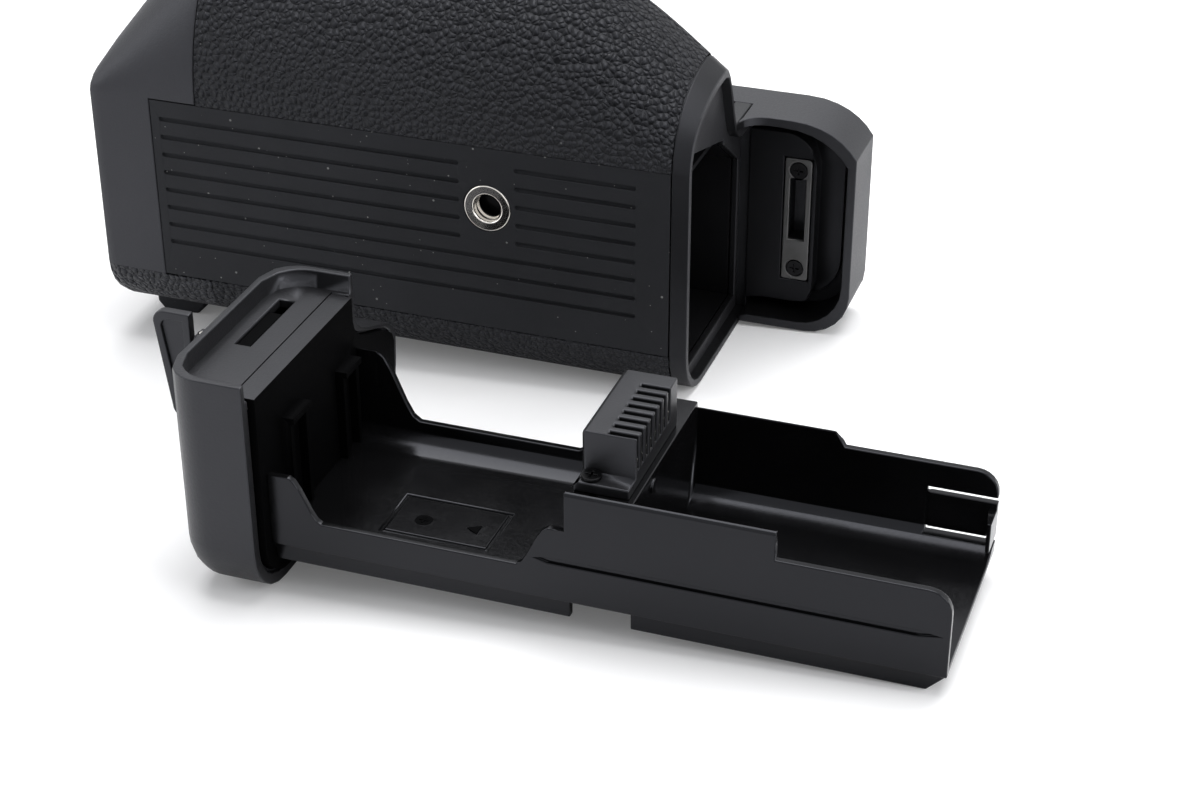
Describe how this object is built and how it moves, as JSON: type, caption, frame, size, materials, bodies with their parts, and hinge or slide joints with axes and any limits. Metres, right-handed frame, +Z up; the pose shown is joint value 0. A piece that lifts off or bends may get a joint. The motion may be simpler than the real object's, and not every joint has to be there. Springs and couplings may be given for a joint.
{
  "type": "camera battery grip",
  "caption": "Vertical battery grip for a camera, lying on its rear side, with its two-battery tray taken out in front of it.",
  "frame": {"origin": "centre of the tripod socket at the face of the base pad", "axes": "+Z up as the grip lies on its rear side, +Y from the base pad to the camera face, +X along the grip toward the battery door"},
  "size_m": [0.1738, 0.124, 0.0797],
  "materials": {
    "shell_plastic": "fine moulded texture",
    "tray_plastic": "satin moulded",
    "block_plastic": "matt",
    "inner_plastic": "satin",
    "leather_rubber": "pebble grain",
    "pad_rubber": "matt",
    "seal_rubber": "matt",
    "control_plastic": "satin",
    "nickel": "bright nickel",
    "steel": "dull",
    "black_steel": "blackened",
    "contact_gold": "plated",
    "board": "solder mask"
  },
  "bodies": {
    "grip": {"front_shell": "shell_plastic", "base_plate": "shell_plastic", "rear_shell": "shell_plastic", "end_cap": "shell_plastic", "front_leather": "leather_rubber", "rear_leather": "leather_rubber", "base_pad": "pad_rubber", "tripod_socket": "nickel", "mouth_frame": "shell_plastic", "chamber_liner": "inner_plastic", "contact_board": "board", "contact_blades": "contact_gold", "camera_plate": "shell_plastic", "striker_plate": "steel", "striker_screws": "steel", "door_seal": "seal_rubber", "camera_pad": "pad_rubber", "contact_post": "block_plastic", "post_contacts": "contact_gold", "locating_pins": "nickel", "dial_axle": "nickel", "dial_bracket": "shell_plastic", "thumb_rest": "pad_rubber", "strap_lug": "nickel", "case_screws": "black_steel"},
    "tray": {"tray_cradle": "tray_plastic", "contact_block": "block_plastic", "contact_tips": "contact_gold", "block_screw": "black_steel", "door_shell": "tray_plastic", "door_inner_plate": "tray_plastic", "door_gasket": "seal_rubber", "door_screws": "black_steel"},
    "catch": {"battery_catch": "tray_plastic"},
    "knob": {"turn_knob": "tray_plastic", "knob_shaft": "nickel", "flap_pin": "nickel"},
    "flap": {"handle_flap": "tray_plastic"},
    "lock": {"lock_bar": "steel"},
    "clamp": {"mounting_stud": "nickel", "clamp_wheel": "control_plastic"},
    "shutter": {"shutter_button": "control_plastic"},
    "power": {"power_ring": "control_plastic"},
    "dial": {"front_dial": "control_plastic"},
    "focus": {"focus_button": "control_plastic"},
    "function": {"function_button": "control_plastic"}
  },
  "joints": [
    {"name": "tray_slide", "type": "slide", "parent": "grip", "child": "tray", "axis": [-0.9983, 0, 0.0591], "range_m": [0, 0.1]},
    {"name": "catch_flex", "type": "hinge", "parent": "tray", "child": "catch", "pos_m": [0.08452, -0.0376, -0.02415], "axis": [0.0591, 0, 0.9983], "range_deg": [0, 8], "stiffness_Nm_per_rad": 0.05},
    {"name": "knob_turn", "type": "hinge", "parent": "tray", "child": "knob", "pos_m": [-0.02223, -0.055, -0.0057], "axis": [0.9983, 0, -0.0591], "range_deg": [0, 90]},
    {"name": "flap_fold", "type": "hinge", "parent": "knob", "child": "flap", "pos_m": [-0.02527, -0.055, -0.00552], "axis": [0.0591, 0, 0.9983], "range_deg": [0, 90]},
    {"name": "lock_slide", "type": "slide", "parent": "tray", "child": "lock", "axis": [0.0591, 0, 0.9983], "range_m": [0, 0.00368]},
    {"name": "clamp_turn", "type": "hinge", "parent": "grip", "child": "clamp", "pos_m": [-0.01696, 0.0391, -0.01242], "axis": [0, 1, 0], "continuous": true},
    {"name": "shutter_press", "type": "slide", "parent": "grip", "child": "shutter", "axis": [0.3683, 0, -0.9297], "range_m": [0, 0.001], "stiffness_N_per_m": 800},
    {"name": "power_turn", "type": "hinge", "parent": "grip", "child": "power", "pos_m": [-0.05595, 0.019, 0.0397], "axis": [-0.3683, 0, 0.9297], "range_deg": [0, 40]},
    {"name": "dial_turn", "type": "hinge", "parent": "grip", "child": "dial", "pos_m": [-0.03717, 0.016, 0.03546], "axis": [0, 1, 0], "continuous": true},
    {"name": "focus_press", "type": "slide", "parent": "grip", "child": "focus", "axis": [0.0591, 0, 0.9983], "range_m": [0, 0.0006], "stiffness_N_per_m": 800},
    {"name": "function_press", "type": "slide", "parent": "grip", "child": "function", "axis": [0.0591, 0, 0.9983], "range_m": [0, 0.0006], "stiffness_N_per_m": 800}
  ],
  "couplings": [
    {"joint": "lock_slide", "follows": "knob_turn", "m_per_rad": 0.0023408}
  ]
}
